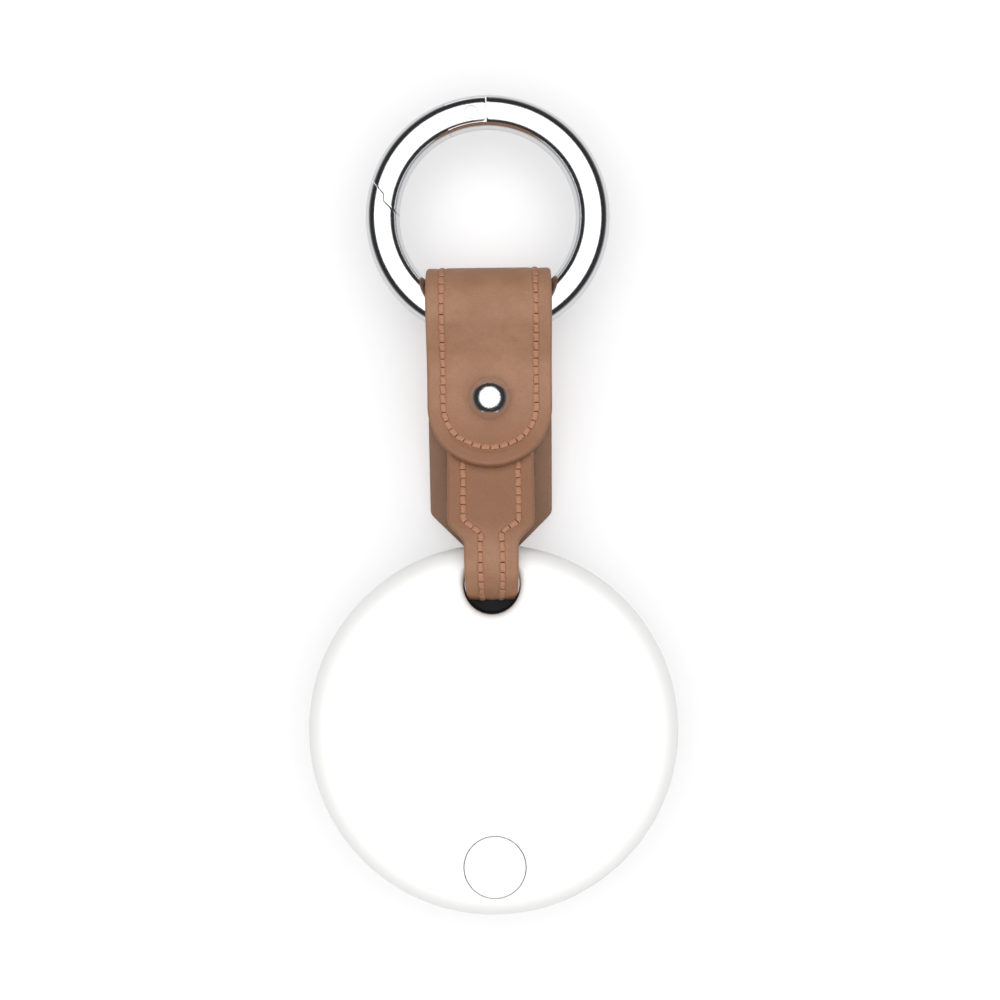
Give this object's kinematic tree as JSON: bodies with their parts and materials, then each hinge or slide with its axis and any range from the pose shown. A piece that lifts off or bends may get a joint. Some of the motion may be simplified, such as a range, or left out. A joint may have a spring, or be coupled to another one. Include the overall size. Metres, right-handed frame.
{
  "type": "bluetooth tracker tag",
  "caption": "Round flat bluetooth tracker with a press button, on a stitched leather strap that closes with a press stud round a spring-gate key ring.",
  "frame": {"origin": "centre of the tracker's rear face", "axes": "+Z out of the tracker's front face, +Y from the tracker towards the key ring"},
  "size_m": [0.038, 0.0845, 0.0094],
  "materials": {
    "white_shell": "smooth bright white moulded plastic, satin gloss",
    "black_plastic": "matt black moulded plastic",
    "soft_seal": "soft dark silicone",
    "circuit_board": "green solder mask on glass fibre",
    "chip_black": "black epoxy moulding",
    "ceramic": "off-white ceramic",
    "brass": "plain bright brass and gold-plated contacts",
    "steel": "plain stainless steel",
    "chrome": "polished chrome plate",
    "leather": "smooth tan-brown calf leather with fine grain and burnished edges",
    "lining": "darker split leather",
    "thread": "waxed twisted thread, a shade more orange than the leather"
  },
  "bodies": {
    "strap": {"strap_face": "leather", "strap_lining": "lining", "strap_thread": "thread", "stud_post": "chrome", "stud_nipple": "steel"},
    "flap": {"flap_face": "leather", "flap_lining": "lining", "flap_thread": "thread", "snap_cap": "chrome", "snap_socket": "steel"},
    "tracker": {"front_shell": "white_shell", "rear_shell": "white_shell", "shell_gasket": "soft_seal", "hole_liner": "black_plastic", "button_seal": "soft_seal", "tact_switch": "steel", "circuit_board": "circuit_board", "radio_chip": "chip_black", "memory_chip": "chip_black", "crystal": "steel", "chip_antenna": "ceramic", "chip_capacitors": "brass", "coin_cell": "steel", "positive_contact": "brass", "negative_contact": "brass", "sounder_plate": "brass", "sounder_ceramic": "ceramic", "sounder_springs": "brass"},
    "button": {"button_cap": "white_shell", "switch_plunger": "black_plastic"},
    "ring": {"ring_body": "chrome", "gate_pin": "chrome"},
    "gate": {"gate": "chrome", "gate_plunger": "steel", "gate_spring": "steel"}
  },
  "joints": [
    {"name": "tracker_swing", "type": "hinge", "parent": "strap", "child": "tracker", "pos_m": [0, 0.018, 0.0032], "axis": [1, 0, 0], "range_deg": [-40, 40]},
    {"name": "button_press", "type": "slide", "parent": "tracker", "child": "button", "axis": [0, 0, -1], "range_m": [0, 0.00025], "stiffness_N_per_m": 800},
    {"name": "flap_open", "type": "hinge", "parent": "strap", "child": "flap", "pos_m": [0, 0.03873, 0.00564], "axis": [-1, 0, 0], "range_deg": [0, 90]},
    {"name": "ring_swing", "type": "hinge", "parent": "strap", "child": "ring", "pos_m": [0, 0.0433, 0.0032], "axis": [1, 0, 0], "range_deg": [-90, 90]},
    {"name": "gate_open", "type": "hinge", "parent": "ring", "child": "gate", "pos_m": [-0.00157, 0.06334, 0.0032], "axis": [0, 0, 1], "range_deg": [0, 28], "stiffness_Nm_per_rad": 0.02}
  ]
}
